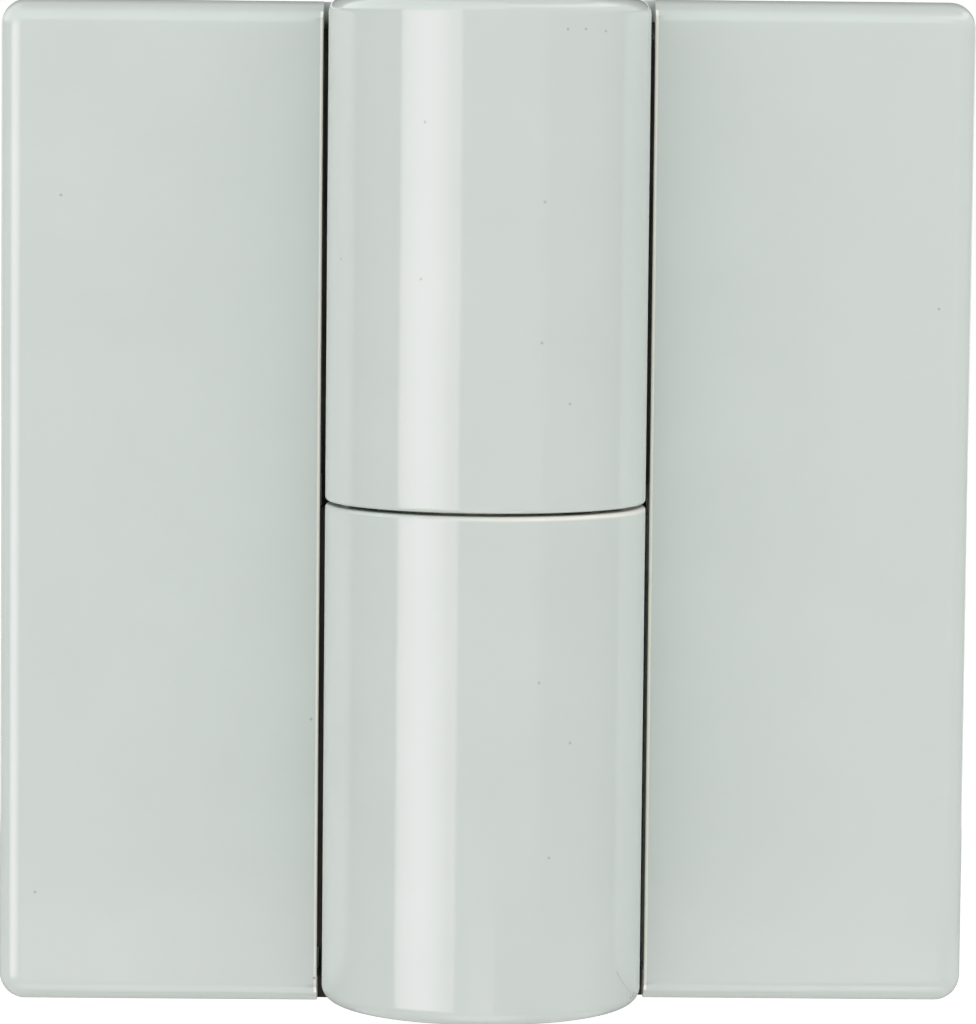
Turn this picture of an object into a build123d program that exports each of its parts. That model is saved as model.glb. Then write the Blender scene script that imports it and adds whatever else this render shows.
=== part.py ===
from build123d import *
import os
from math import asin, degrees, radians, sqrt, tan

# Screw-on door hinge with moulded covers, in millimetres.
# X runs along the flaps, the door flap at +X and the frame flap at -X.
# Y points from the front of the hinge to the wall, and Z runs up along the pin.
# The origin is on the pin's axis, half-way up the flaps.

# Pin, bushes and washer
pin_radius = 6.0
running_clearance = 0.05
bush_wall = 1.5
bush_fit = 0.02
bush_length = 14.0
flange_radius = 10.6
flange_thickness = 1.2
washer_thickness = 1.5
thrust_gap = 0.05
pin_chamfer = 1.0
pin_end_gap = 1.4

# Steel leaves
sheet = 4.0
bend_radius = 3.0
joggle_angle = 45.0
joggle_margin = 3.5
eye_slit = 0.8
relief_width = 3.0
tongue_clearance = 1.6
plate_corner = 2.0
tongue_corner = 1.5

# Moulded sleeves of the knuckle
sleeve_wall = 2.2
rib_height = 1.95
rib_thickness = 1.6
rib_clearance = 0.08
rib_count = 5
first_rib_angle = 100.0
rib_pitch_angle = 60.0
rib_setback = 2.0
sleeve_setback = 0.6
end_wall = 2.4
end_gap = 0.2
end_fillet = 1.5
seam_gap = 0.3
seam_fillet = 0.4
neck_clearance = 0.3

# Moulded flap covers
flap_height = 100.0
flap_width = 31.9
knuckle_gap = 0.6
face_setback = 4.0
cover_wall = 2.2
inner_wall = 2.0
corner_radius = 2.6
front_fillet = 2.2
inner_edge_fillet = 0.25
cover_clearance = 0.2
web_clearance = 0.5
web_lap = 0.2
web_lip = 1.0
brace_thickness = 1.5
brace_offset = 25.0
peg_radius = 2.5
peg_clearance = 0.05
peg_boss_radius = 3.6
peg_setback = 0.5
peg_chamfer = 0.6
peg_slot = 1.0
end_peg_inset = 9.7
inner_peg_margin = 4.8
middle_peg_margin = 6.4

# Screw holes of the leaves
screw_radius = 2.75
countersink_radius = 5.25
outer_screw_margin = 5.9
outer_screw_inset = 11.8
inner_screw_margin = 5.7
inner_screw_spacing = 26.0

# Set screw of the pin
grub_radius = 2.5
grub_clearance = 0.05
grub_height = 15.0
grub_socket = 2.5
grub_socket_depth = 2.0
grub_recess = 0.2
point_radius = 1.5
point_length = 1.0
point_clearance = 0.1

# Heights of the two halves
seam_height = 0.6
door_lift = 0.5
swing_clearance = 0.4

# The knuckle grows from the pin outwards
eye_bore = pin_radius + running_clearance + bush_wall + bush_fit
eye_radius = eye_bore + sheet
rib_radius = eye_radius + rib_clearance
sleeve_bore = rib_radius + rib_height
knuckle_radius = sleeve_bore + sleeve_wall

# Depths behind the pin's axis
mount_depth = knuckle_radius + swing_clearance
plate_front = mount_depth - sheet
neck_middle = eye_bore + sheet / 2
strip_front = eye_bore - neck_clearance
seat_depth = plate_front - cover_clearance
plate_middle = mount_depth - sheet / 2

# Places along the flap
flap_inner = knuckle_radius + knuckle_gap
flap_outer = flap_inner + flap_width
plate_outer = flap_outer - cover_wall - cover_clearance
joggle_low = flap_inner + joggle_margin
joggle_high = joggle_low + (plate_middle - neck_middle) / tan(radians(joggle_angle))
bend_middle_radius = bend_radius + sheet / 2
plate_flat = joggle_high + bend_middle_radius * tan(radians(joggle_angle / 2))
tongue_edge = sqrt((knuckle_radius + tongue_clearance) ** 2 - plate_front**2)
web_edge = sqrt((knuckle_radius + web_clearance) ** 2 - strip_front**2)

# Heights above the seam, the same for both halves
sleeve_length = flap_height / 2 - sleeve_setback
eye_low = (washer_thickness + thrust_gap + flange_thickness) / 2
eye_high = seam_gap / 2 + sleeve_length - end_wall - end_gap - flange_thickness
plate_half = flap_height / 2 - cover_wall - cover_clearance


def span(x, y, z):
    """Block between two limits along each axis."""
    size = Box(x[1] - x[0], y[1] - y[0], z[1] - z[0])
    return Pos((x[0] + x[1]) / 2, (y[0] + y[1]) / 2, (z[0] + z[1]) / 2) * size


def post(radius, x, z, y_front, y_back):
    """Round post or hole along Y between two depths."""
    body = Cylinder(radius, y_back - y_front)
    return Pos(x, (y_front + y_back) / 2, z) * Rot(90, 0, 0) * body


def ring(outer, inner, low, high):
    """Tube about the pin's axis."""
    wall = Cylinder(outer, high - low) - Cylinder(inner, high - low)
    return Pos(0, 0, (low + high) / 2) * wall


def flap_plan(x, half_height, middle, corner):
    """Rectangle of a flap seen from the front, with its two outer corners rounded."""
    plan = Pos((x[0] + x[1]) / 2, middle) * Rectangle(x[1] - x[0], 2 * half_height)
    return fillet(plan.vertices().sort_by(Axis.X)[-2:], corner)


def at_depth(depth):
    """Sketch plane at a depth behind the axis, looking at the front."""
    return Plane.XZ.offset(-depth)


def peg_places(middle):
    """Places of the three pegs that hold a cover to its leaf."""
    end = plate_half - end_peg_inset
    return [
        (plate_flat + inner_peg_margin, middle + end),
        (plate_outer - middle_peg_margin, middle),
        (plate_flat + inner_peg_margin, middle - end),
    ]


def screw_places(middle):
    """Places of the four countersunk screws: a wide outer pair and a close inner pair."""
    outer = plate_outer - outer_screw_margin
    inner = plate_flat + inner_screw_margin
    reach = plate_half - outer_screw_inset
    return [
        (outer, middle + reach),
        (outer, middle - reach),
        (inner, middle + inner_screw_spacing / 2),
        (inner, middle - inner_screw_spacing / 2),
    ]


def eye_strip():
    """Joggled strip that runs from the plate to the pin and rolls round it into an eye."""
    # The roll stops where its tip would close on the strip's own front face.
    tip_angle = 360 + degrees(asin((eye_bore - eye_slit) / eye_radius))
    strip = FilletPolyline(
        (plate_flat + relief_width, plate_middle),
        (joggle_high, plate_middle),
        (joggle_low, neck_middle),
        (0, neck_middle),
        radius=bend_middle_radius,
    )
    roll = CenterArc((0, 0), neck_middle, 90, tip_angle - 90)
    section = trace(strip + roll, sheet)
    return extrude(Pos(0, 0, eye_low) * section, amount=eye_high - eye_low)


def leaf(middle):
    """Steel leaf: a flat plate with screw holes, a tongue, and a strip rolled into the eye."""
    plan = flap_plan((tongue_edge, plate_outer), plate_half, middle, plate_corner)
    top = middle + plate_half
    neck_side = Pos((tongue_edge + plate_flat) / 2, (eye_low + top) / 2)
    plan -= neck_side * Rectangle(plate_flat - tongue_edge, top - eye_low)
    slot_end = plate_flat + relief_width / 2
    slot = Pos(slot_end / 2, eye_low - relief_width / 2) * SlotCenterToCenter(slot_end, relief_width)
    plan = fillet((plan - slot).vertices().sort_by(Axis.X)[:2], tongue_corner)
    plate = extrude(at_depth(mount_depth) * plan, amount=sheet)
    body = plate + eye_strip()
    sink = countersink_radius - screw_radius
    for x, z in screw_places(middle):
        body -= post(screw_radius, x, z, plate_front, mount_depth)
        cone = Cone(countersink_radius, screw_radius, sink)
        body -= Pos(x, plate_front + sink / 2, z) * Rot(-90, 0, 0) * cone
    for x, z in peg_places(middle):
        body -= post(peg_radius + peg_clearance, x, z, plate_front, mount_depth)
    return body


def cover_peg(x, z):
    """Boss that stands on the leaf, with a split peg that pushes into the leaf's hole."""
    peg = post(peg_radius, x, z, seat_depth, mount_depth - peg_setback)
    peg = chamfer(peg.edges().sort_by(Axis.Y)[-1], peg_chamfer)
    split = span(
        (x - peg_slot / 2, x + peg_slot / 2),
        (seat_depth, mount_depth),
        (z - 2 * peg_radius, z + 2 * peg_radius),
    )
    boss = post(peg_boss_radius, x, z, face_setback + cover_wall, seat_depth)
    return boss + (peg - split)


def cover(middle):
    """Moulded tray over one flap: rounded front, open back, ribs and split pegs inside."""
    half = flap_height / 2
    shell = extrude(
        at_depth(mount_depth) * flap_plan((flap_inner, flap_outer), half, middle, corner_radius),
        amount=mount_depth - face_setback,
    )
    front = shell.faces().sort_by(Axis.Y)[0].edges().sort_by(Axis.X)
    shell = fillet(front[1:], front_fillet)
    inner_front = shell.faces().sort_by(Axis.X)[0].edges().sort_by(Axis.Y)[0]
    shell = fillet(inner_front, inner_edge_fillet)

    floor = face_setback + cover_wall
    room = (flap_inner + inner_wall, flap_outer - cover_wall)
    room_half = half - cover_wall
    shell -= extrude(
        at_depth(mount_depth) * flap_plan(room, room_half, middle, corner_radius - cover_wall / 2),
        amount=mount_depth - floor,
    )
    for x, z in peg_places(middle):
        shell += cover_peg(x, z)
    for z in (middle - brace_offset, middle + brace_offset):
        shell += span(
            (plate_flat, room[1]),
            (floor, seat_depth),
            (z - brace_thickness / 2, z + brace_thickness / 2),
        )

    # The inner wall opens for the strip above the slot and for the tongue below it.
    wall = (flap_inner - inner_wall, room[0])
    neck_top = middle + room_half
    neck_foot = eye_low - relief_width
    shell -= span(wall, (strip_front, mount_depth), (neck_foot, neck_top))
    shell -= span(wall, (seat_depth, mount_depth), (middle - room_half, neck_foot))

    # Webs behind the knuckle close the view through the gap, at both ends and at the slot.
    web = (web_edge, room[0])
    ahead = (strip_front, seat_depth)
    behind = (seat_depth, mount_depth)
    shell += span(web, ahead, (middle - half, middle - plate_half + web_lap))
    shell += span(web, behind, (middle - half, middle - room_half))
    shell += span(web, ahead, (neck_top, middle + half))
    shell += span(web, behind, (eye_high - web_lap, middle + half))
    shell += span((flap_inner, room[0]), ahead, (neck_foot, eye_low - neck_clearance))
    shell += span(web, behind, (neck_foot + neck_clearance, eye_low + web_lap))
    lip = (seat_depth - web_lip, seat_depth)
    shell += span(web, lip, (neck_foot - web_lap, eye_low - neck_clearance))
    return shell


def sleeve():
    """Moulded sleeve over one eye: closed far end, ribs that grip the eye, slot for the strip."""
    standing = (Align.CENTER, Align.CENTER, Align.MIN)
    body = Cylinder(knuckle_radius, sleeve_length, align=standing)
    body = fillet(body.edges().sort_by(Axis.Z)[-1], end_fillet)
    body = fillet(body.edges().sort_by(Axis.Z)[0], seam_fillet)
    room = sleeve_length - end_wall
    body -= Cylinder(sleeve_bore, room, align=standing)
    ribs = Part()
    for i in range(rib_count):
        reach = rib_height + sleeve_wall / 2
        rib = Pos(rib_radius + reach / 2, 0, 0) * Box(
            reach,
            rib_thickness,
            room - rib_setback,
            align=standing,
        )
        ribs += Rot(0, 0, first_rib_angle + i * rib_pitch_angle) * rib
    body += Pos(0, 0, rib_setback) * ribs
    body -= span(
        (0, 2 * knuckle_radius),
        (strip_front, eye_radius + neck_clearance),
        (-sleeve_length, eye_high - seam_gap / 2 + neck_clearance),
    )
    return Pos(0, 0, seam_gap / 2) * body


def bush():
    """Flanged plain bush, its flange below the eye's end face at height 0."""
    bore = pin_radius + running_clearance
    tube = ring(eye_bore - bush_fit, bore, 0, bush_length)
    flange = ring(flange_radius, bore, -flange_thickness, 0)
    return tube + flange


def washer():
    """Plain washer between the flange of the bottom bush and the lower eye."""
    return ring(flange_radius, pin_radius + running_clearance, -eye_low, washer_thickness - eye_low)


def hinge_pin():
    """Stepped pin: the thick end fills the lower eye, the thin end turns in the bushes."""
    thick = ring(eye_bore - bush_fit, 0, -eye_high, -eye_low)
    thick = chamfer(thick.edges().sort_by(Axis.Z)[0], pin_chamfer)
    thin = ring(pin_radius, 0, -eye_low, eye_high + flange_thickness - pin_end_gap)
    thin = chamfer(thin.edges().sort_by(Axis.Z)[-1], pin_chamfer)
    dimple = post(
        point_radius + point_clearance,
        0,
        grub_height - eye_high,
        -eye_bore,
        -eye_bore + point_length + point_clearance,
    )
    return thick + thin - dimple


def grub_hole():
    """Tapped hole through the front wall of the lower eye."""
    return post(grub_radius, 0, grub_height - eye_high, -eye_radius, 0)


def grub_screw():
    """Set screw with a hexagon socket and a dog point that enters the pin."""
    z = grub_height - eye_high
    front = grub_recess - eye_radius
    body = post(grub_radius - grub_clearance, 0, z, front, -eye_bore)
    point = post(point_radius, 0, z, -eye_bore, point_length - eye_bore)
    hexagon = RegularPolygon(grub_socket / 2, 6, major_radius=False)
    socket = extrude(Pos(0, 0, z) * at_depth(front) * hexagon, amount=-grub_socket_depth)
    return body + point - socket


door_shift = -seam_height + door_lift / 2
frame_shift = seam_height + door_lift / 2
upright = Pos(0, 0, seam_height)
turned = Pos(0, 0, seam_height) * Rot(0, 180, 0)

nodes = {
    "door_leaf": upright * leaf(door_shift),
    "door_cover": upright * cover(door_shift),
    "upper_sleeve": upright * sleeve(),
    "upper_bush_bottom": upright * Pos(0, 0, eye_low) * bush(),
    "upper_bush_top": upright * Pos(0, 0, eye_high) * Rot(0, 180, 0) * bush(),
    "frame_leaf": turned * leaf(frame_shift) - upright * grub_hole(),
    "frame_cover": turned * cover(frame_shift),
    "lower_sleeve": turned * sleeve(),
    "hinge_pin": upright * hinge_pin(),
    "pin_grub_screw": upright * grub_screw(),
    "thrust_washer": upright * washer(),
}

os.makedirs("parts", exist_ok=True)
for name, shape in nodes.items():
    export_step(shape, f"parts/{name}.step")
    print(name, len(shape.solids()), round(shape.volume, 1))
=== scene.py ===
# %% [markdown]
# # A screw-on door hinge in glossy grey nylon
# The hinge has two steel leaves that are screwed to a door and to its frame. Each leaf hides under a
# moulded cover, and each leaf's rolled eye hides in a moulded sleeve. The two sleeves stand on one
# pin and make the round knuckle in the middle. The lesson starts from the measured solids, which
# give every place and size, and then makes the four mouldings again as smooth surfaces.

# %% Load the frame
import math

import bmesh
import bpy
import numpy as np
from mathutils import Matrix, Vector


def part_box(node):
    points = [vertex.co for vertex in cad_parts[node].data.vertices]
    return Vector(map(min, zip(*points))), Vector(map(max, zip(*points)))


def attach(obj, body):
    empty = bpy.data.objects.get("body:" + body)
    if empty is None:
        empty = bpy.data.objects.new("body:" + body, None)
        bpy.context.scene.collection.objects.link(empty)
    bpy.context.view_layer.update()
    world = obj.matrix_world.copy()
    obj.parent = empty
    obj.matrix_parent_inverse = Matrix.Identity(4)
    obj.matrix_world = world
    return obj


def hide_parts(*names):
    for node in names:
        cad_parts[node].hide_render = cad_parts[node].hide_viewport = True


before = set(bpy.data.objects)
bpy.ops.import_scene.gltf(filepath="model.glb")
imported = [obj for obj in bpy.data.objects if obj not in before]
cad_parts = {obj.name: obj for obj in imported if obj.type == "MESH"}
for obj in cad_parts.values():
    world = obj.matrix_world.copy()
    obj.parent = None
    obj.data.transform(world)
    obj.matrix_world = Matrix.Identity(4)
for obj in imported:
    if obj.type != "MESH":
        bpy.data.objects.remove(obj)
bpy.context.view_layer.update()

MM = 0.001

# %% [markdown]
# ## Sizes from the frame
# A scene that repeats sizes by hand drifts away from the solids. So the sizes that a box can show
# are read from the frame, in millimetres, and only the wall thicknesses and small edge radii are
# written here. The frame half is the door half turned end for end about Y, so one set does for both.

# %% Measure the nodes
def box_mm(node):
    """Lowest and highest corner of a node, in millimetres."""
    low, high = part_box(node)
    return np.array(low) / MM, np.array(high) / MM


sleeve_low, sleeve_high = box_mm("upper_sleeve")
cover_low, cover_high = box_mm("door_cover")
leaf_low, leaf_high = box_mm("door_leaf")
lower_top = box_mm("lower_sleeve")[1][2]
frame_cover_low, frame_cover_high = box_mm("frame_cover")

knuckle_radius = sleeve_high[0]
sleeve_length = sleeve_high[2] - sleeve_low[2]
seam_height = (sleeve_low[2] + lower_top) / 2
knuckle_gap = 0.6
flap_inner, flap_outer = knuckle_radius + knuckle_gap, cover_high[0]
web_edge = cover_low[0]
face_depth, mount_depth = cover_low[1], cover_high[1]
flap_half = (cover_high[2] - cover_low[2]) / 2
door_middle = (cover_high[2] + cover_low[2]) / 2
frame_middle = (frame_cover_high[2] + frame_cover_low[2]) / 2
print("knuckle radius", round(knuckle_radius, 2))
print("flap from", round(flap_inner, 2), "to", round(flap_outer, 2))
print("front face at depth", round(face_depth, 2), "mounting face at depth", round(mount_depth, 2))

# %% [markdown]
# ## A wall between two skins
# A moulding has an outside, an inside and an even wall between them. Blender's Solidify could make
# the inside, but it rounds corners and knows no slots. Here both skins are grids with the same rows
# and columns, and a table of kept cells says where the wall is cut away. Each cell that borders on a
# cut gets a small face from skin to skin, so the wall is closed everywhere.

# %% Grid helpers
def shell(outer, inner, keep):
    """Closed wall between two grids of points (rows, columns, 3) whose columns run in a ring.

    Outer cells face out and inner cells face in. Where a kept cell borders on a dropped one, or on
    the first row, a face joins the two skins. The last row of each skin is closed by one flat face.
    Faces come as blocks, one array for each number of corners.
    """
    rows, columns = outer.shape[:2]
    shift = rows * columns
    ring = np.arange(shift).reshape(rows, columns)
    after = np.roll(ring, -1, axis=1)
    a, b, c, d = ring[:-1], after[:-1], after[1:], ring[1:]
    below = np.vstack([np.zeros((1, columns), bool), keep[:-1]])
    above = np.vstack([keep[1:], np.ones((1, columns), bool)])
    before, behind = np.roll(keep, 1, axis=1), np.roll(keep, -1, axis=1)
    quads = [np.stack([a, b, c, d], -1)[keep], np.stack([d, c, b, a], -1)[keep] + shift]
    for p, q, neighbour in ((b, a, below), (d, c, above), (a, d, before), (c, b, behind)):
        edge = keep & ~neighbour
        quads.append(np.stack([p[edge], q[edge], q[edge] + shift, p[edge] + shift], -1))
    points = np.vstack([outer.reshape(-1, 3), inner.reshape(-1, 3)])
    return points, [np.vstack(quads), ring[-1:], ring[-1:, ::-1] + shift]


def loft(rows):
    """Closed solid through a stack of rings (rows, columns, 3), with a flat face at each end."""
    count, columns = rows.shape[:2]
    ring = np.arange(count * columns).reshape(count, columns)
    after = np.roll(ring, -1, axis=1)
    quads = np.stack([ring[:-1], after[:-1], after[1:], ring[1:]], -1).reshape(-1, 4)
    return rows.reshape(-1, 3), [quads, ring[-1:], ring[:1, ::-1]]


def joined(parts):
    """Several surfaces as one, with the point numbers of each moved along."""
    points, blocks = [], []
    count = 0
    for part_points, part_blocks in parts:
        points.append(part_points)
        blocks += [block + count for block in part_blocks]
        count += len(part_points)
    return np.vstack(points), blocks


trial = loft(np.zeros((3, 8, 3)))
print("a loft through 3 rings of 8 points has", sum(len(block) for block in trial[1]), "faces")

# %% [markdown]
# ## From points to a mesh
# The surfaces are worked out in millimetres about the seam, and a Blender mesh is in metres. Points
# could go in one by one, which is slow, so foreach_set takes whole arrays. Points that fall together,
# as at the ends of a rounding, are merged, and edges that turn sharply are marked to stay sharp.
# The frame half needs no surfaces of its own: it is the door half turned by half a turn about Y.

# %% Put a surface into the scene
weld_distance = 1e-7
crease_angle = math.radians(32)


def upright(points):
    """Door half: the local seam goes to the hinge's seam."""
    return points + np.array([0, 0, seam_height])


def turned(points):
    """Frame half: the door half turned by half a turn about Y, at the seam."""
    return points * np.array([-1, 1, -1]) + np.array([0, 0, seam_height])


def add_piece(name, surface, place):
    """Mesh object at the origin from points in millimetres; sharp edges stay sharp."""
    points, blocks = surface
    corners = np.concatenate([block.ravel() for block in blocks])
    sides = np.concatenate([np.full(len(block), block.shape[1]) for block in blocks])
    used, corners = np.unique(corners, return_inverse=True)
    mesh = bpy.data.meshes.new(name)
    mesh.vertices.add(len(used))
    mesh.vertices.foreach_set("co", (place(points[used]) * MM).ravel())
    mesh.loops.add(len(corners))
    mesh.loops.foreach_set("vertex_index", corners.ravel().astype(np.int32))
    mesh.polygons.add(len(sides))
    mesh.polygons.foreach_set("loop_start", (np.cumsum(sides) - sides).astype(np.int32))
    mesh.update(calc_edges=True)
    work = bmesh.new()
    work.from_mesh(mesh)
    bmesh.ops.remove_doubles(work, verts=work.verts, dist=weld_distance)
    bmesh.ops.dissolve_degenerate(work, edges=work.edges, dist=weld_distance)
    work.to_mesh(mesh)
    work.free()
    mesh.polygons.foreach_set("use_smooth", np.ones(len(mesh.polygons), bool))
    mesh.set_sharp_from_angle(angle=crease_angle)
    piece = bpy.data.objects.new(name, mesh)
    bpy.context.scene.collection.objects.link(piece)
    print(name, len(mesh.vertices), "points", len(mesh.polygons), "faces")
    return piece


print("seam at height", round(seam_height, 3), "mm")

# %% [markdown]
# ## The sleeves
# A sleeve is a turned form with a closed end, so its profile is a list of radii and heights carried
# round the pin. A slot at the back lets the steel strip out. The slot's two walls are flat and
# parallel, so the angle where the ring starts and ends follows from the radius of each row. Inside,
# thin ribs grip the steel eye: they are steps in the inner radius.

# %% Sleeve profile
sleeve_wall = 2.2
end_wall = 2.4
end_round = 1.5
lip_round = 0.4
seam_gap = sleeve_low[2] - lower_top
slot_low, slot_high = 7.27, 11.87
slot_top = 45.9
rib_radius, rib_width, rib_start = 11.65, 1.6, 2.0
rib_angles = np.radians([100, 160, 220, 280, 340])
step = 0.05
sleeve_bore = knuckle_radius - sleeve_wall

lip_rows, end_rows = 7, 15
lip_turn = np.radians(np.linspace(0, 90, lip_rows))
end_turn = np.radians(np.linspace(0, 90, end_rows))
lip_radius = knuckle_radius - lip_round * (1 - np.sin(lip_turn))
lip_height = lip_round * (1 - np.cos(lip_turn))
end_radius = knuckle_radius - end_round * (1 - np.cos(end_turn))
end_height = sleeve_length - end_round * (1 - np.sin(end_turn))
wall_heights = [rib_start, rib_start + step, slot_top]
outer_radius = np.concatenate([lip_radius, [knuckle_radius] * 3, end_radius, [end_radius[-1] - end_round]])
outer_height = np.concatenate([lip_height, wall_heights, end_height, [sleeve_length]])
floor_rows = end_rows + 1
floor_share = np.linspace(1, 0.5, floor_rows)
inner_share = np.concatenate([np.ones(lip_rows + len(wall_heights)), floor_share])
inner_height = np.concatenate([lip_height, wall_heights, [sleeve_length - end_wall] * floor_rows])
print("sleeve profile has", len(outer_radius), "rows")

# %% Sleeve skins
ring_cells, slot_cells = 340, 8


def ring_angles(radius):
    """Angles round one row: from the slot's far wall round to its near wall, then across the slot."""
    at = np.maximum(radius, sleeve_bore)[:, None]
    first = np.arcsin(slot_high / at)
    last = np.arcsin(slot_low / at) + 2 * math.pi
    along = np.linspace(0, 1, ring_cells + 1)
    across = np.linspace(0, 1, slot_cells + 1)[1:-1]
    return np.hstack([first + (last - first) * along, last + (first + 2 * math.pi - last) * across])


def on_cylinder(radius, angle, height):
    """Points at a radius and an angle about the pin, at a height above the seam."""
    return np.stack([radius * np.cos(angle), radius * np.sin(angle), height + 0 * angle], -1)


def sleeve_surface():
    """Outer skin: the profile at every angle. Inner skin: the bore, with ribs as steps inwards."""
    outer_angle = ring_angles(outer_radius)
    outer = on_cylinder(outer_radius[:, None], outer_angle, outer_height[:, None])
    inner_angle = ring_angles(inner_share * sleeve_bore)
    off = np.abs((inner_angle[..., None] - rib_angles + math.pi) % (2 * math.pi) - math.pi).min(-1)
    ribbed = (off * rib_radius < rib_width / 2) & (inner_height[:, None] > rib_start)
    bore = np.where(ribbed, rib_radius, sleeve_bore) * inner_share[:, None]
    inner = on_cylinder(bore, inner_angle, inner_height[:, None])
    keep = np.ones((len(outer_radius) - 1, outer.shape[1]), bool)
    keep[outer_height[1:] <= slot_top, ring_cells:] = False
    return shell(outer, inner, keep)


sleeve_lift = np.array([0, 0, seam_gap / 2])
sleeve_points, sleeve_faces = sleeve_surface()
sleeves = {
    "upper_sleeve": add_piece("sleeve_upper", (sleeve_points + sleeve_lift, sleeve_faces), upright),
    "lower_sleeve": add_piece("sleeve_lower", (sleeve_points + sleeve_lift, sleeve_faces), turned),
}

# %% [markdown]
# ## The flap covers
# A cover is a shallow tray. Seen from the front it is a rectangle with two round corners, and its
# front edge is rolled over on three sides. So the outer skin is that outline, drawn again and again
# while it moves forwards and inwards round the roll. On the fourth side, next to the knuckle, the
# outline does not move in: there the wall stays flat, with only a fine rounding.

# %% Cover sizes
cover_wall, inner_wall = 2.2, 2.0
corner_round, edge_round, fine_round = 2.6, 2.2, 0.25
pocket_round, pocket_margins = 1.5, (0.1, 1.4)
strip_opening = slot_low
tongue_opening = 12.0
tongue_top = -1.625
bridge_top = 1.075
flat_margin = 0.3
room_half = flap_half - cover_wall

roll_rows = 15
roll = np.radians(np.linspace(0, 90, roll_rows))[1:]
wall_depths = [mount_depth, tongue_opening, strip_opening, face_depth + edge_round]
cover_depth = np.concatenate([wall_depths, face_depth + edge_round * (1 - np.sin(roll)), [face_depth]])
cover_inset = np.concatenate([np.zeros(4), edge_round * (1 - np.cos(roll)), [edge_round + flat_margin]])
to_front = np.clip(fine_round - (cover_depth - face_depth), 0, fine_round)
fine_inset = fine_round - np.sqrt(fine_round**2 - to_front**2)
fine_inset[-1] += flat_margin
pocket_depth = np.concatenate([wall_depths[:3], [face_depth + cover_wall] * (len(roll) + 2)])
pocket_inset = np.concatenate([np.zeros(4), np.linspace(*pocket_margins, len(roll) + 1)])
print("cover has", len(cover_depth), "rows from rim to front")


# %% Cover outline
across_points, corner_points, side_points, edge_points = 25, 13, 61, 41


def outline(edges, half, corner, inset, slip, stations):
    """Outline of a flap, one ring per row, as x and z.

    Three sides are a spine pushed out along its normal by the corner radius less the inset. The
    fourth side runs down the knuckle's edge through the given stations, and slips in by its own inset.
    """
    inset, slip = inset[:, None], slip[:, None]
    start, centre = edges[0] + slip, edges[1] - corner
    reach = corner - inset
    share = np.linspace(0, 1, across_points)[None, :-1]
    turn = np.radians(np.linspace(0, 90, corner_points))[None, :]
    side = np.linspace(-1, 1, side_points)[None, 1:-1] * (half - corner)
    flat = 0 * reach
    along = start + share * (centre - start)
    x = np.hstack([
        along,
        centre + reach * np.sin(turn),
        centre + reach + 0 * side,
        centre + reach * np.cos(turn),
        start + (1 - share[:, 1:]) * (centre - start),
        start + 0 * stations[None, :],
    ])
    z = np.hstack([
        -(half - inset) + 0 * along,
        corner - half - reach * np.cos(turn),
        side + flat,
        half - corner + reach * np.sin(turn),
        half - inset + 0 * along[:, 1:],
        np.clip(stations[None, :], inset - half, half - inset),
    ])
    return x, z


trial = outline((0, 30), 50, 3, np.zeros(1), np.zeros(1), np.linspace(50, -50, edge_points))
print("an outline has", trial[0].shape[1], "points")


# %% Cover tray
def cover_surface(middle):
    """Tray between the rolled outer skin and a plain pocket, with the openings for the leaf."""
    upper = np.linspace(room_half, bridge_top - middle, edge_points)
    lower = np.linspace(tongue_top - middle, -room_half, edge_points)
    stations = np.concatenate([[flap_half], upper, lower])
    x, z = outline((flap_inner, flap_outer), flap_half, corner_round, cover_inset, fine_inset, stations)
    outer = np.stack([x, cover_depth[:, None] + 0 * x, z + middle], -1)
    pocket = (flap_inner + inner_wall, flap_outer - cover_wall)
    x, z = outline(pocket, room_half, pocket_round, pocket_inset, pocket_inset, stations)
    inner = np.stack([x, pocket_depth[:, None] + 0 * x, z + middle], -1)
    keep = np.ones((len(cover_depth) - 1, x.shape[1]), bool)
    first = x.shape[1] - len(stations)
    keep[0, first + 1 : -1] = False
    keep[1, first + 1 : first + len(upper)] = False
    return shell(outer, inner, keep)


print("a tray has", len(cover_surface(0.0)[0]), "points before merging")

# %% [markdown]
# ## Pegs, braces and webs of the covers
# Three split pegs push through holes in the steel leaf and hold the cover. They show from the back.
# A peg is two half-round prongs on a round boss, each a loft through a few rings. Two flat braces
# stiffen the front. Three small webs reach behind the knuckle, at both ends and half-way, and close
# the view through the narrow gap. All of them start a little inside a wall, so no gap shows.

# %% Sizes behind the cover
plate_half, plate_outer = (leaf_high[2] - leaf_low[2]) / 2, leaf_high[0]
plate_start = 26.6
peg_radius, boss_radius = 2.5, 3.6
peg_slot, peg_chamfer, peg_setback = 1.0, 0.6, 0.5
end_peg_inset, inner_peg_margin, middle_peg_margin = 9.7, 4.8, 6.4
brace_thickness, brace_offset = 1.5, 25.0
strip_end, slot_edge = 45.75, 1.375
web_lap, web_play, web_lip = 0.2, 0.3, 1.0
sunk, hair = 0.3, 0.02
pocket_floor = face_depth + cover_wall - sunk
boss_end = tongue_opening
print("pegs reach from depth", round(boss_end, 2), "to", round(mount_depth - peg_setback, 2))

# %% Bosses and split pegs
circle_points, arc_points = 49, 25
circle = np.linspace(0, 2 * math.pi, circle_points)[:-1]


def post(ring):
    """Post along Y with a ring as its section, from the leaf to inside the front wall."""
    depths = np.array([boss_end, pocket_floor])
    return loft(ring[None] + np.array([0, 1, 0]) * depths[:, None, None])


def round_boss(x, z):
    """Round post under a peg."""
    across, along = boss_radius * np.sin(circle), boss_radius * np.cos(circle)
    return post(np.stack([x + across, 0 * circle, z + along], -1))


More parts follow.
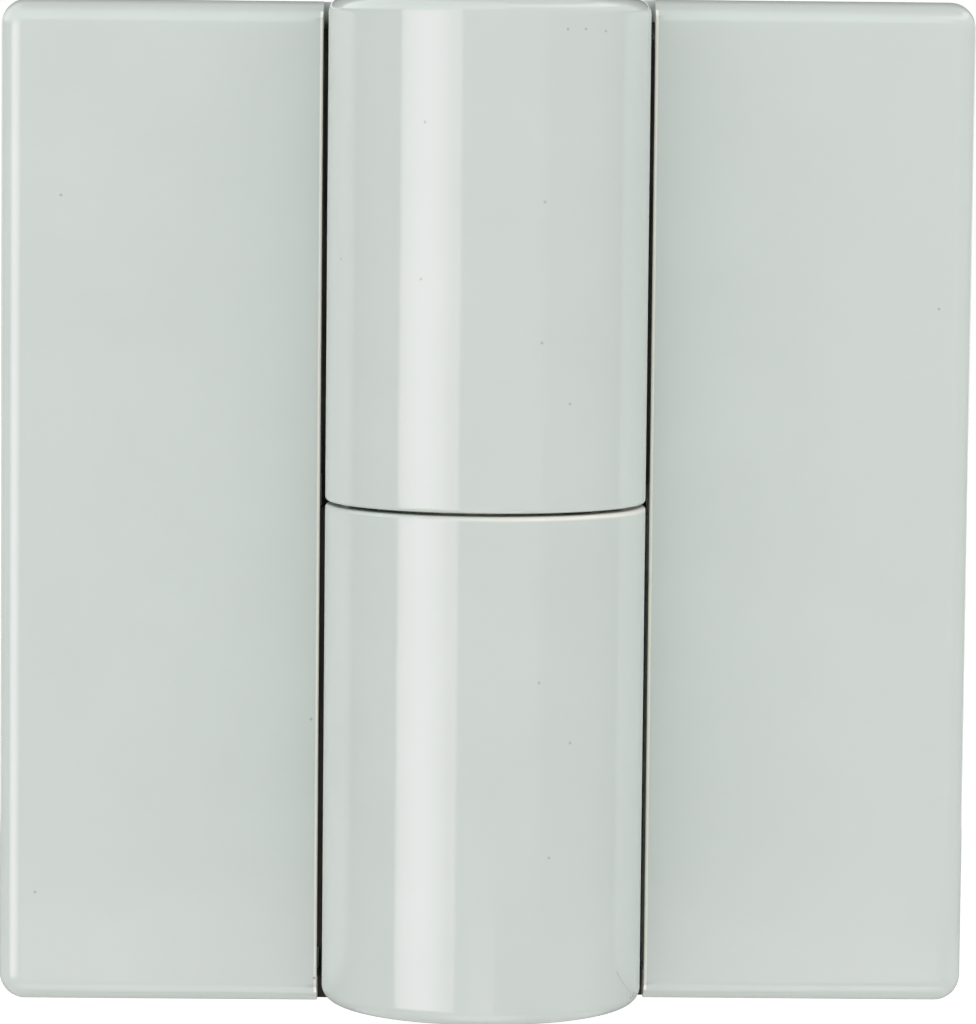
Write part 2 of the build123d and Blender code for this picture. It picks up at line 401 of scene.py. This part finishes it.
def prong(x, z, side):
    """Half-round prong beside the split: a chord and an arc, with a chamfered tip."""
    half_turn = math.acos(peg_slot / 2 / peg_radius)
    turn = np.linspace(-half_turn, half_turn, arc_points)
    rows = []
    for depth, radius in (
        (mount_depth - peg_setback, peg_radius - peg_chamfer),
        (mount_depth - peg_setback - peg_chamfer, peg_radius),
        (boss_end - sunk, peg_radius),
    ):
        out = np.maximum(radius * np.cos(turn), peg_slot / 2)
        rows.append(np.stack([x + side * out, depth + 0 * turn, z - side * radius * np.sin(turn)], -1))
    return loft(np.array(rows))


print("a prong has", len(prong(0.0, 0.0, 1)[0]), "points and a boss", len(round_boss(0.0, 0.0)[0]))


# %% Braces and webs
def brace(z):
    """Flat rib across the pocket at one height."""
    x0, x1 = plate_start, flap_outer - cover_wall + sunk
    low, high = z - brace_thickness / 2, z + brace_thickness / 2
    return post(np.array([[x0, 0, low], [x0, 0, high], [x1, 0, high], [x1, 0, low]]))


def web(outline_yz):
    """Prism behind the knuckle: an outline in depth and height, drawn from its edge to the wall."""
    yz = np.array(outline_yz)
    ends = np.array([web_edge, flap_inner + inner_wall])
    rows = [np.column_stack([np.full(len(yz), end), yz]) for end in ends]
    return loft(np.array(rows))


def cover_webs(middle):
    """Webs at the tongue's end, at the strip's end and at the slot between the two."""
    near, seat, back = strip_opening, tongue_opening, mount_depth - hair
    low, low_room = middle - flap_half + hair, middle - room_half
    lap = middle - plate_half + web_lap
    high, high_room = middle + flap_half - hair, middle + room_half
    rest = strip_end - web_lap
    foot, head = tongue_top + web_play, slot_edge + web_lap
    lip, lip_low = seat - web_lip, tongue_top - web_lap
    return [
        web([(near, low), (back, low), (back, low_room), (seat, low_room), (seat, lap), (near, lap)]),
        web([(near, high_room), (seat, high_room), (seat, rest), (back, rest), (back, high), (near, high)]),
        web([
            (lip, lip_low), (seat, lip_low), (seat, foot), (back, foot),
            (back, head), (seat, head), (seat, bridge_top), (lip, bridge_top),
        ]),
    ]


print("a cover has", len(cover_webs(0.0)), "webs")


# %% Whole covers
def cover_parts(middle):
    """Tray, bosses, prongs, braces and webs of one cover, about its own seam."""
    end = plate_half - end_peg_inset
    near, far = plate_start + inner_peg_margin, plate_outer - middle_peg_margin
    places = [(near, middle + end), (far, middle), (near, middle - end)]
    parts = [cover_surface(middle)]
    for x, z in places:
        parts += [round_boss(x, z), prong(x, z, 1), prong(x, z, -1)]
    parts += [brace(middle - brace_offset), brace(middle + brace_offset)]
    return joined(parts + cover_webs(middle))


covers = {
    "door_cover": add_piece("cover_door", cover_parts(door_middle - seam_height), upright),
    "frame_cover": add_piece("cover_frame", cover_parts(seam_height - frame_middle), turned),
}

# %% [markdown]
# ## Who moves with whom
# The upper sleeve and the door's cover swing with the door, and the other two stay on the frame. Each
# moulding takes the place of its solid in the picture, and the solid still serves for the motion.

# %% Let the mouldings stand for their solids
for node, piece in {**sleeves, **covers}.items():
    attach(piece, "door" if node in ("upper_sleeve", "door_cover") else "frame")
    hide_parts(node)
print("mouldings ride with their halves")

# %% [markdown]
# ## Smooth shading for the steel
# The leaves, the pin and the bushes keep their solids. A solid's mesh is loose triangles, which
# would show as flat facets on the rolled eye. A small node group welds them and smooths every edge
# that turns only a little, and the Weighted Normal modifier keeps the large faces flat.

# %% Smoothing modifier
solid_weld = 1e-6
gentle_turn = math.radians(28)


def smoothing_group(limit):
    """Weld the triangles, then shade smooth across edges below the limiting angle."""
    group = bpy.data.node_groups.new("weld_and_smooth", "GeometryNodeTree")
    group.interface.new_socket("Geometry", in_out="INPUT", socket_type="NodeSocketGeometry")
    group.interface.new_socket("Geometry", in_out="OUTPUT", socket_type="NodeSocketGeometry")
    nodes, link = group.nodes, group.links.new
    start, end = nodes.new("NodeGroupInput"), nodes.new("NodeGroupOutput")
    weld = nodes.new("GeometryNodeMergeByDistance")
    weld.inputs["Distance"].default_value = solid_weld
    faces, edges = nodes.new("GeometryNodeSetShadeSmooth"), nodes.new("GeometryNodeSetShadeSmooth")
    edges.domain = "EDGE"
    angle, gentle = nodes.new("GeometryNodeInputMeshEdgeAngle"), nodes.new("FunctionNodeCompare")
    gentle.operation = "LESS_THAN"
    gentle.inputs["B"].default_value = limit
    link(angle.outputs["Unsigned Angle"], gentle.inputs["A"])
    link(gentle.outputs["Result"], edges.inputs["Shade Smooth"])
    link(start.outputs["Geometry"], weld.inputs["Geometry"])
    link(weld.outputs["Geometry"], faces.inputs["Geometry"])
    link(faces.outputs["Geometry"], edges.inputs["Geometry"])
    link(edges.outputs["Geometry"], end.inputs["Geometry"])
    return group


weld_and_smooth = smoothing_group(gentle_turn)
kept_nodes = [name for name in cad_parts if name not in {**sleeves, **covers}]
for name in kept_nodes:
    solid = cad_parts[name]
    solid.modifiers.new("weld_and_smooth", "NODES").node_group = weld_and_smooth
    flat_faces = solid.modifiers.new("flat_faces", "WEIGHTED_NORMAL")
    flat_faces.keep_sharp = True
print("smoothed", kept_nodes)

# %% [markdown]
# ## The camera
# The photograph looks at the hinge from a little above and a little to the left, from about half a
# metre. The place, the turn and the focal length were fitted to the outlines of the flaps, the
# seam and the knuckle.

# %% Place the camera
eye = np.array([-5.783, -496.51, 40.71]) * MM
yaw, pitch, tilt = -0.0122, 0.0825, 0.0099
focal_pixels, long_side = 5047.6, 1024
forward = np.array([-math.sin(yaw) * math.cos(pitch), math.cos(yaw) * math.cos(pitch), -math.sin(pitch)])
level_right = np.array([math.cos(yaw), math.sin(yaw), 0])
level_up = np.cross(level_right, forward)
right = math.cos(tilt) * level_right + math.sin(tilt) * level_up
up = math.cos(tilt) * level_up - math.sin(tilt) * level_right
lens = bpy.data.cameras.new("camera")
lens.sensor_width = 36
lens.lens = lens.sensor_width * focal_pixels / long_side
lens.clip_start, lens.clip_end = 0.01, 20
camera = bpy.data.objects.new("camera", lens)
turn = np.stack([right, up, -forward], -1)
camera.matrix_world = Matrix.Translation(eye) @ Matrix(turn.tolist()).to_4x4()
bpy.context.scene.collection.objects.link(camera)
bpy.context.scene.camera = camera
bpy.context.scene.view_settings.view_transform = "Standard"
print("lens", round(lens.lens, 1), "mm")

# %% [markdown]
# ## Finishes
# Each finish is a node tree on Object coordinates, which are metres here, so a noise scale of 1000
# has cells of a millimetre. One helper adds a node and takes either plain values or other sockets.

# %% Node helper
def add(tree, kind, inputs=None, **settings):
    """New node with its settings; inputs may be values or sockets of other nodes."""
    made = tree.nodes.new(kind)
    for key, value in settings.items():
        setattr(made, key, value)
    for key, value in (inputs or {}).items():
        if isinstance(value, bpy.types.NodeSocket):
            tree.links.new(value, made.inputs[key])
        else:
            made.inputs[key].default_value = value
    return made


def calc(tree, operation, first, second=0.0):
    """Result of one Math node."""
    return add(tree, "ShaderNodeMath", {0: first, 1: second}, operation=operation).outputs[0]


def along_axes(tree, vector):
    """X, Y and Z of a vector, as sockets."""
    return add(tree, "ShaderNodeSeparateXYZ", {0: vector}).outputs


def seen_directly(tree):
    """1 for rays from the camera and for those that gloss or glass send on, else 0."""
    path = add(tree, "ShaderNodeLightPath").outputs
    seen = calc(tree, "MAXIMUM", path["Is Camera Ray"], path["Is Glossy Ray"])
    return calc(tree, "MAXIMUM", seen, path["Is Transmission Ray"])


print("a noise of scale 1000 has cells of", 1 / 1000 / MM, "mm")


# %% Finish helpers
def new_finish(name):
    """Empty material with a Principled shader, its tree and the Object coordinates."""
    finish = bpy.data.materials.new(name)
    finish.use_nodes = True
    tree = finish.node_tree
    shader = tree.nodes["Principled BSDF"]
    coords = add(tree, "ShaderNodeTexCoord").outputs["Object"]
    return finish, tree, shader, coords


def noise(tree, coords, scale, detail=2.0, stretch=(1, 1, 1)):
    """Noise factor from 0 to 1; stretch divides the cell size along each axis."""
    place = add(tree, "ShaderNodeMapping", {"Vector": coords, "Scale": stretch})
    inputs = {"Vector": place.outputs["Vector"], "Scale": scale, "Detail": detail}
    return add(tree, "ShaderNodeTexNoise", inputs).outputs["Fac"]


def ramp(tree, factor, low, high, start=0.3, stop=0.7):
    """Factor between start and stop spread over the range from low to high."""
    inputs = {"Value": factor, "From Min": start, "From Max": stop, "To Min": low, "To Max": high}
    return add(tree, "ShaderNodeMapRange", inputs).outputs["Result"]


def tint(tree, factor, first, second):
    """Mix of two colours, each a colour or another node's socket."""
    first, second = [c if isinstance(c, bpy.types.NodeSocket) else (*c, 1) for c in (first, second)]
    mixed = add(tree, "ShaderNodeMix", data_type="RGBA")
    for place, value in ((0, factor), (6, first), (7, second)):
        if isinstance(value, bpy.types.NodeSocket):
            tree.links.new(value, mixed.inputs[place])
        else:
            mixed.inputs[place].default_value = value
    return mixed.outputs[2]


def emboss(tree, shader, height, strength, depth):
    """Bump from a height factor, of a depth in metres."""
    bump = add(tree, "ShaderNodeBump", {"Height": height, "Strength": strength, "Distance": depth})
    tree.links.new(bump.outputs["Normal"], shader.inputs["Normal"])


print("materials so far:", len(bpy.data.materials))

# %% [markdown]
# ## Marks of handling
# The photograph shows a used surface: small dark specks on the flaps and the knuckle, and a scuff
# with a nick at the lower right end. Their places are pixels of the photograph, and a ray from the
# camera through each pixel finds its point on the knuckle's round or on the flap's face.

# %% Places of the marks
speck_pixels = [
    (61, 195), (425, 122), (421, 279), (341, 259), (568, 29), (586, 29), (606, 31), (545, 202), (542, 343),
    (570, 404), (939, 309), (539, 683), (570, 743), (549, 858), (311, 719), (35, 892), (314, 978),
]
scuff_start, scuff_bend, scuff_end = np.array([617, 972]), np.array([622, 984]), np.array([634, 996])
nick_pixels = [(634, 993), (633, 996), (631, 998)]
picture_centre = np.array([488, 512])
scuff_steps = 15


def on_surface(pixels):
    """Where rays through these pixels meet the knuckle's cylinder, or else the flaps' front plane."""
    across, down = ((np.array(pixels, float) - picture_centre) / focal_pixels).T
    rays = forward + across[:, None] * right - down[:, None] * up
    start = eye / MM
    a = (rays[:, :2] ** 2).sum(1)
    b = (rays[:, :2] * start[:2]).sum(1)
    root = b**2 - a * ((start[:2] ** 2).sum() - knuckle_radius**2)
    to_knuckle = (-b - np.sqrt(np.maximum(root, 0))) / a
    to_flap = (face_depth - start[1]) / rays[:, 1]
    return start + np.where(root > 0, to_knuckle, to_flap)[:, None] * rays


share = np.linspace(0, 1, scuff_steps)[:, None]
scuff_pixels = (1 - share) ** 2 * scuff_start + 2 * share * (1 - share) * scuff_bend + share**2 * scuff_end
specks, scuff, nick = on_surface(speck_pixels), on_surface(scuff_pixels), on_surface(nick_pixels)
print(len(specks), "specks, first at", specks[0].round(1), "mm")

# %% Masks of the marks, the painted highlights and the painted shade
edge_full, edge_width = 0.22, 0.34
# The webs in the gap are painted near black as shade, fading out over the top ends and towards the back.
ear_foot, ear_top, shade_fade_depth = 47.4, 50.2, 2.5
# Where the painted highlight on the lower sleeve's lip starts, is full, and how it grows from left to
# right.
lip_start, lip_full = 1.3 * lip_round, 0.8 * lip_round
lip_left, lip_right = -8.0, 5.0


def marks(tree, coords, places, radius):
    """Mask that is 1 within half the radius of any of the places and fades to 0 at the radius."""
    mask = 0.0
    for place in places:
        inputs = {0: coords, 1: (place * MM).tolist()}
        away = add(tree, "ShaderNodeVectorMath", inputs, operation="DISTANCE").outputs["Value"]
        spot = ramp(tree, away, 1, 0, radius * MM / 2, radius * MM)
        mask = calc(tree, "MAXIMUM", spot, mask)
    return mask


def edge_painted_highlight(tree, coords):
    """Mask of the painted highlight along the sharp edge that a flap has beside the knuckle."""
    place = along_axes(tree, coords)
    across = calc(tree, "ABSOLUTE", place["X"])
    full, end = (flap_inner + edge_full) * MM, (flap_inner + edge_width) * MM
    line = ramp(tree, across, 1, 0, full, end)
    line = calc(tree, "MULTIPLY", line, calc(tree, "GREATER_THAN", across, (flap_inner - hair) * MM))
    return calc(tree, "MULTIPLY", line, calc(tree, "LESS_THAN", place["Y"], (face_depth + edge_width) * MM))


def gap_painted_shade(tree, coords):
    """Mask of painted shade on the webs of a cover in the gap beside the knuckle; it fades out over the top
    ends.
    """
    place = along_axes(tree, coords)
    inside = calc(tree, "LESS_THAN", calc(tree, "ABSOLUTE", place["X"]), (flap_inner - hair) * MM)
    below = ramp(tree, place["Z"], 1, 0, ear_foot * MM, ear_top * MM)
    front = ramp(tree, place["Y"], 1, 0, (mount_depth - shade_fade_depth) * MM, mount_depth * MM)
    return calc(tree, "MULTIPLY", calc(tree, "MULTIPLY", inside, below), front)


def lip_painted_highlight(tree, coords):
    """Mask of the painted highlight on the upper lip of the lower sleeve, stronger on the right."""
    place = along_axes(tree, coords)
    lip = ramp(tree, place["Z"], 0, 1, (lower_top - lip_start) * MM, (lower_top - lip_full) * MM)
    lip = calc(tree, "MULTIPLY", lip, calc(tree, "LESS_THAN", place["Z"], (lower_top + hair) * MM))
    return calc(tree, "MULTIPLY", lip, ramp(tree, place["X"], 0, 1, lip_left * MM, lip_right * MM))


print("pale edges", edge_width, "mm wide, pale lip", round(lip_start, 2), "mm high")

# %% [markdown]
# ## Glossy nylon
# The covers and sleeves are moulded in light greenish grey nylon with a polished mould, so the
# surface mirrors the room softly. A flat colour would look like paint, so the tone has faint clouds,
# the gloss varies a little, and a slow bump bends the reflections as a real moulding does. The sleeves
# are a little darker as painted shade. The covers also get a painted highlight along the inner edge and
# painted shade on the webs in the gap, and the lower sleeve gets a painted highlight on its lip at the
# seam.

# %% Glossy nylon
grey, lighter = np.array([0.605, 0.653, 0.620]), 1.025
# The sleeves' nylon is 3% darker as painted shade, because the forward knuckle catches more light than the
# covers.
sleeve_painted_shade, cover_tone = 0.97, 1.0
polish, dull = (0.07, 0.09), 0.9
cloud_scale, polish_scale, wave_scale = 90, 220, 150
# Colours of the painted highlight on the flaps' inner edge, the painted highlight on the lower sleeve's lip
# and the painted shade on the webs in the gap.
painted_edge_highlight, painted_lip_highlight, painted_shade_black = (0.97, 0.96, 0.86), (0.80, 0.80, 0.73), (0.02, 0.016, 0.013)
# Places, radius in millimetres and colour of each kind of mark.
handling = [
    (specks, 0.19, (0.44, 0.465, 0.44)),
    (scuff, 0.10, (0.40, 0.38, 0.34)),
    (nick, 0.14, (0.10, 0.10, 0.09)),
]


def moulded_nylon(name, tone, in_gap):
    """Glossy light grey nylon: faint clouds of tone and a slow waviness left by the mould."""
    finish, tree, shader, coords = new_finish(name)
    cloud = ramp(tree, noise(tree, coords, cloud_scale, 3), 0, 1)
    colour = tint(tree, cloud, tone * grey, tone * lighter * grey)
    gloss = ramp(tree, noise(tree, coords, polish_scale, 4), *polish)
    if in_gap:
        # Painted shade: the webs in the gap beside the knuckle go near black and dull.
        gap_shade = gap_painted_shade(tree, coords)
        # Painted highlight: a cream line along the flap's inner edge.
        colour = tint(tree, edge_painted_highlight(tree, coords), colour, painted_edge_highlight)
        colour = tint(tree, gap_shade, colour, painted_shade_black)
        gloss = calc(tree, "MAXIMUM", gloss, calc(tree, "MULTIPLY", gap_shade, dull))
    else:
        # Painted highlight: a pale line on the lower sleeve's lip at the seam.
        colour = tint(tree, lip_painted_highlight(tree, coords), colour, painted_lip_highlight)
    for places, radius, shade in handling:
        colour = tint(tree, marks(tree, coords, places, radius), colour, shade)
    tree.links.new(colour, shader.inputs["Base Color"])
    tree.links.new(gloss, shader.inputs["Roughness"])
    emboss(tree, shader, noise(tree, coords, wave_scale, 1), strength=0.05, depth=0.0005)
    shader.inputs["IOR"].default_value = 1.52
    return finish


# The sleeves take the darker copy of the nylon: painted shade.
sleeve_nylon = moulded_nylon("sleeve_nylon", sleeve_painted_shade, False)
cover_nylon = moulded_nylon("cover_nylon", cover_tone, True)
for pieces, finish in ((sleeves, sleeve_nylon), (covers, cover_nylon)):
    for piece in pieces.values():
        piece.data.materials.append(finish)
for finish in (sleeve_nylon, cover_nylon):
    print(finish.name, "has", len(finish.node_tree.nodes), "nodes")

# %% [markdown]
# ## Steel and bearing plastic
# The gaps beside the knuckle show brown-black steel, as a phosphated sheet has. Its grain runs along
# the rolling direction, so the noise is stretched along Z. The pin was ground on a lathe, which
# leaves fine rings round it, so there the noise is stretched across. The bushes are dull plastic.
# All three read Object coordinates, so the pattern stays on the piece when the door swings.

# %% Dark phosphated sheet
sheet_dark, sheet_light = (0.040, 0.034, 0.029), (0.062, 0.054, 0.047)
rolled_scale, rolled_stretch, patch_scale = 900, (4, 4, 0.15), 160
sheet_gloss = 0.42, 0.58


def dark_sheet():
    """Phosphated steel sheet: brown-black, dull, with a rolled grain along Z and cloudy patches."""
    finish, tree, shader, coords = new_finish("dark_sheet")
    grain = noise(tree, coords, rolled_scale, 4, rolled_stretch)
    patches = ramp(tree, noise(tree, coords, patch_scale, 3), 0, 1)
    tree.links.new(tint(tree, patches, sheet_dark, sheet_light), shader.inputs["Base Color"])
    tree.links.new(ramp(tree, grain, *sheet_gloss), shader.inputs["Roughness"])
    emboss(tree, shader, grain, strength=0.12, depth=0.0001)
    shader.inputs["Metallic"].default_value = 0.6
    return finish


steel = dark_sheet()
print(steel.name, "has", len(steel.node_tree.nodes), "nodes")

# %% Ground steel
bar_dark, bar_light = (0.42, 0.42, 0.43), (0.55, 0.55, 0.56)
ring_scale, ring_stretch = 500, (0.3, 0.3, 12)
bar_gloss = 0.18, 0.34


def ground_steel():
    """Ground bar steel: fine rings from grinding, brighter than the sheet."""
    finish, tree, shader, coords = new_finish("ground_steel")
    rings = noise(tree, coords, ring_scale, 3, ring_stretch)
    tree.links.new(tint(tree, rings, bar_dark, bar_light), shader.inputs["Base Color"])
    tree.links.new(ramp(tree, rings, *bar_gloss), shader.inputs["Roughness"])
    shader.inputs["Metallic"].default_value = 1.0
    return finish


bar = ground_steel()
print(bar.name, "has", len(bar.node_tree.nodes), "nodes")

# %% Bearing plastic
bearing_dark, bearing_light, bearing_scale = (0.60, 0.57, 0.50), (0.70, 0.67, 0.60), 2500


def bearing_plastic():
    """Off-white unfilled bearing plastic with a dull, slightly grainy surface."""
    finish, tree, shader, coords = new_finish("bearing_plastic")
    grain = noise(tree, coords, bearing_scale, 3)
    tree.links.new(tint(tree, grain, bearing_dark, bearing_light), shader.inputs["Base Color"])
    emboss(tree, shader, grain, strength=0.1, depth=0.0001)
    shader.inputs["Roughness"].default_value = 0.48
    return finish


bearing = bearing_plastic()
print(bearing.name, "has", len(bearing.node_tree.nodes), "nodes")

# %% Finishes on the kept solids
node_finish = {
    "door_leaf": steel,
    "frame_leaf": steel,
    "hinge_pin": bar,
    "pin_grub_screw": bar,
    "thrust_washer": bearing,
    "upper_bush_bottom": bearing,
    "upper_bush_top": bearing,
}
for name, finish in node_finish.items():
    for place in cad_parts[name].material_slots:
        place.material = finish
print("finishes set on", len(node_finish), "solids")

# %% [markdown]
# ## The light of the studio
# The photograph has a plain white ground and very even light that fades towards the top and the
# floor. Lamps would leave hard edges on the gloss, so the world lights the matt part of every
# surface: strongest from level directions and weak from straight above. Rays from the camera, and
# those that gloss or glass send on, see plain white instead.

# %% White world
world = bpy.data.worlds.new("studio")
bpy.context.scene.world = world
world.use_nodes = True
belt_level, pole_level, belt_power = 2.9, 0.25, 2.0
sky = world.node_tree
direction = add(sky, "ShaderNodeTexCoord").outputs["Generated"]
steep = calc(sky, "ABSOLUTE", along_axes(sky, direction)["Z"])
belt = calc(sky, "POWER", calc(sky, "SUBTRACT", 1.0, steep), belt_power)
soft_level = ramp(sky, belt, pole_level, belt_level, 0, 1)
level = add(sky, "ShaderNodeMix", {0: seen_directly(sky), 2: soft_level, 3: 1.0}).outputs[0]
background = sky.nodes["Background"]
background.inputs["Color"].default_value = (1, 1, 1, 1)
sky.links.new(level, background.inputs["Strength"])
print("matt surfaces get", belt_level, "from level directions and", pole_level, "from above and below")

# %% [markdown]
# ## What the gloss shows
# A glossy surface looks like its surroundings. Here they are a dim room with a bright ceiling in
# front, a pale table and a high strip light on the right. Real objects would take long to build, so
# thin glowing cards stand round the hinge. They show only in reflections: no camera ray and no matt
# surface sees them, so they change the gloss and nothing else.


# %% Card helpers
def glow(name, colour, strength):
    """Material that only glows, for cards that the gloss of the hinge shows."""
    made = bpy.data.materials.new(name)
    made.use_nodes = True
    tree = made.node_tree
    tree.nodes.clear()
    light = add(tree, "ShaderNodeEmission", {"Color": (*colour, 1), "Strength": strength})
    add(tree, "ShaderNodeOutputMaterial", {"Surface": light.outputs[0]})
    return made


def stage_sheet(name, points, material):
    """Open sheet of the studio from a grid of points (rows, columns, 3) in metres."""
    rows, columns = points.shape[:2]
    grid = np.arange(rows * columns).reshape(rows, columns)
    quads = np.stack([grid[:-1, :-1], grid[:-1, 1:], grid[1:, 1:], grid[1:, :-1]], -1).reshape(-1, 4)
    mesh = bpy.data.meshes.new(name)
    mesh.from_pydata(points.reshape(-1, 3), [], quads.tolist())
    mesh.materials.append(material)
    sheet = bpy.data.objects.new(name, mesh)
    bpy.context.scene.collection.objects.link(sheet)
    return sheet


def round_sheet(radii, azimuths, heights, columns=49):
    """Part of a cone or cylinder about Z; azimuth 0 is in front of the hinge and runs to the right."""
    turn = np.radians(np.linspace(*azimuths, columns))[None, :]
    radius, height = np.array(radii)[:, None], np.array(heights)[:, None]
    return np.stack([radius * np.sin(turn), -radius * np.cos(turn), height + 0 * turn], -1)


def gloss_card(name, points, colour, strength):
    """Card that shows in reflections alone: no camera, no matt light and no shadow."""
    card = stage_sheet(name, points, glow(name, colour, strength))
    card.visible_camera = card.visible_diffuse = card.visible_shadow = False
    return card


trial = round_sheet((1.0, 1.0), (-90, 90), (0.0, 0.5))
print("a card has", trial.shape[1], "points along its arc")

# %% Studio cards
white, ceiling_tone = (1, 1, 1), (0.92, 1, 0.98)
room_radius, room_foot, room_top = 1.2, -0.235, 0.24
lamp_ring, lamp_height = 0.45, 1.0
table_edge, table_top, table_foot, table_under = 0.25, -0.24, -0.245, -0.246
wall = (room_radius, room_radius), (room_foot, room_top)
ceiling = (room_radius, lamp_ring), (room_top, lamp_height)
table = (room_radius, table_edge), (table_top, table_foot)
# Name, radii and heights in metres, azimuths in degrees, colour and strength.
cards = [
    ("wall_left", wall, (-135, -66), white, 0.08),
    ("wall_front", wall, (-66, 40), white, 0.5),
    ("wall_right", wall, (40, 135), white, 0.02),
    ("left_ceiling", ceiling, (-135, 12), ceiling_tone, 2.1),
    ("right_ceiling", ceiling, (12, 135), ceiling_tone, 1.0),
    ("overhead", ((lamp_ring, 0.0), (lamp_height, 1.05)), (-180, 180), white, 0.8),
    ("back_ceiling", ((lamp_ring, room_radius), (lamp_height, 0.2)), (135, 225), white, 0.05),
    ("table_left", table, (-60, -9), (1, 0.9, 0.92), 0.7),
    ("table_middle", table, (-9, 9), (1, 0.8, 0.84), 1.2),
    ("table_right", table, (9, 60), white, 0.2),
    ("table_near", ((table_edge, 0.02), (table_foot, table_foot)), (-35, 35), white, 2.0),
    ("table_back", ((table_edge, 0.02), (table_foot, table_foot)), (35, 325), white, 0.9),
    ("under_table", ((0.0, 1.5), (table_under, table_under)), (35, 325), white, 0.3),
    ("strip_light", ((0.6, 0.6), (0.37, 0.65)), (12, 118), white, 3.0),
]
for name, (radii, heights), azimuths, colour, strength in cards:
    gloss_card(name, round_sheet(radii, azimuths, heights), colour, strength)
print(len(cards), "cards stand round the hinge")

# %% [markdown]
# ## The soft box
# The bright band on the left of the knuckle is a tall soft box. Its cloth is brightest in the middle
# and fades to the sides, so the card's strength is a parabola of the angle round the hinge.

# %% Soft box on the left
box_edges, box_peak = (-64.7, -19.7), -45.0
box_spread, box_top, box_drop = 20.0, 4.3, 1.85
box_radii, box_heights, box_tone = (0.7, 0.7), (-0.26, 0.14), (1, 0.88, 0.97)
soft_box = gloss_card("soft_box", round_sheet(box_radii, box_edges, box_heights), box_tone, box_top)
box_tree = soft_box.data.materials[0].node_tree
box_coords = add(box_tree, "ShaderNodeTexCoord").outputs["Object"]
box_place = along_axes(box_tree, box_coords)
azimuth = calc(box_tree, "ARCTAN2", box_place["X"], calc(box_tree, "MULTIPLY", box_place["Y"], -1.0))
box_limits = math.radians(box_peak - box_spread), math.radians(box_peak + box_spread)
offset = ramp(box_tree, azimuth, -1, 1, *box_limits)
dimmed = ramp(box_tree, calc(box_tree, "MULTIPLY", offset, offset), box_top, box_top - box_drop, 0, 1)
box_tree.links.new(dimmed, box_tree.nodes["Emission"].inputs["Strength"])
print("soft box from", box_edges[0], "to", box_edges[1], "degrees")

# %% [markdown]
# ## The floor
# The ground of the photograph is pure white. White paper alone would render pale grey, and more
# light would bleach the hinge. So the paper is matt for light and shadow, and adds a glow of its own
# only for the camera and for reflections.

# %% Floor
floor_height = -0.25
floor_reach = 4.0
paper_matt, paper_glow = 0.85, 0.46
fibre_scale, fibre_contrast = 300, 0.01
paper = bpy.data.materials.new("white_paper")
paper.use_nodes = True
paper_tree = paper.node_tree
paper_shader = paper_tree.nodes["Principled BSDF"]
paper_coords = add(paper_tree, "ShaderNodeTexCoord").outputs["Object"]
fibre = noise(paper_tree, paper_coords, fibre_scale, 3)
shades = (paper_matt - fibre_contrast,) * 3, (paper_matt + fibre_contrast,) * 3
paper_tree.links.new(tint(paper_tree, fibre, *shades), paper_shader.inputs["Base Color"])
paper_light = ramp(paper_tree, seen_directly(paper_tree), 0, paper_glow, 0, 1)
paper_tree.links.new(paper_light, paper_shader.inputs["Emission Strength"])
paper_shader.inputs["Emission Color"].default_value = (1, 1, 1, 1)
paper_shader.inputs["Roughness"].default_value = 0.9
corners = floor_reach * np.array([[[-1, -1, 0], [1, -1, 0]], [[-1, 1, 0], [1, 1, 0]]], float)
stage_sheet("floor", corners + np.array([0, 0, floor_height]), paper)
print("floor at", floor_height, "m")
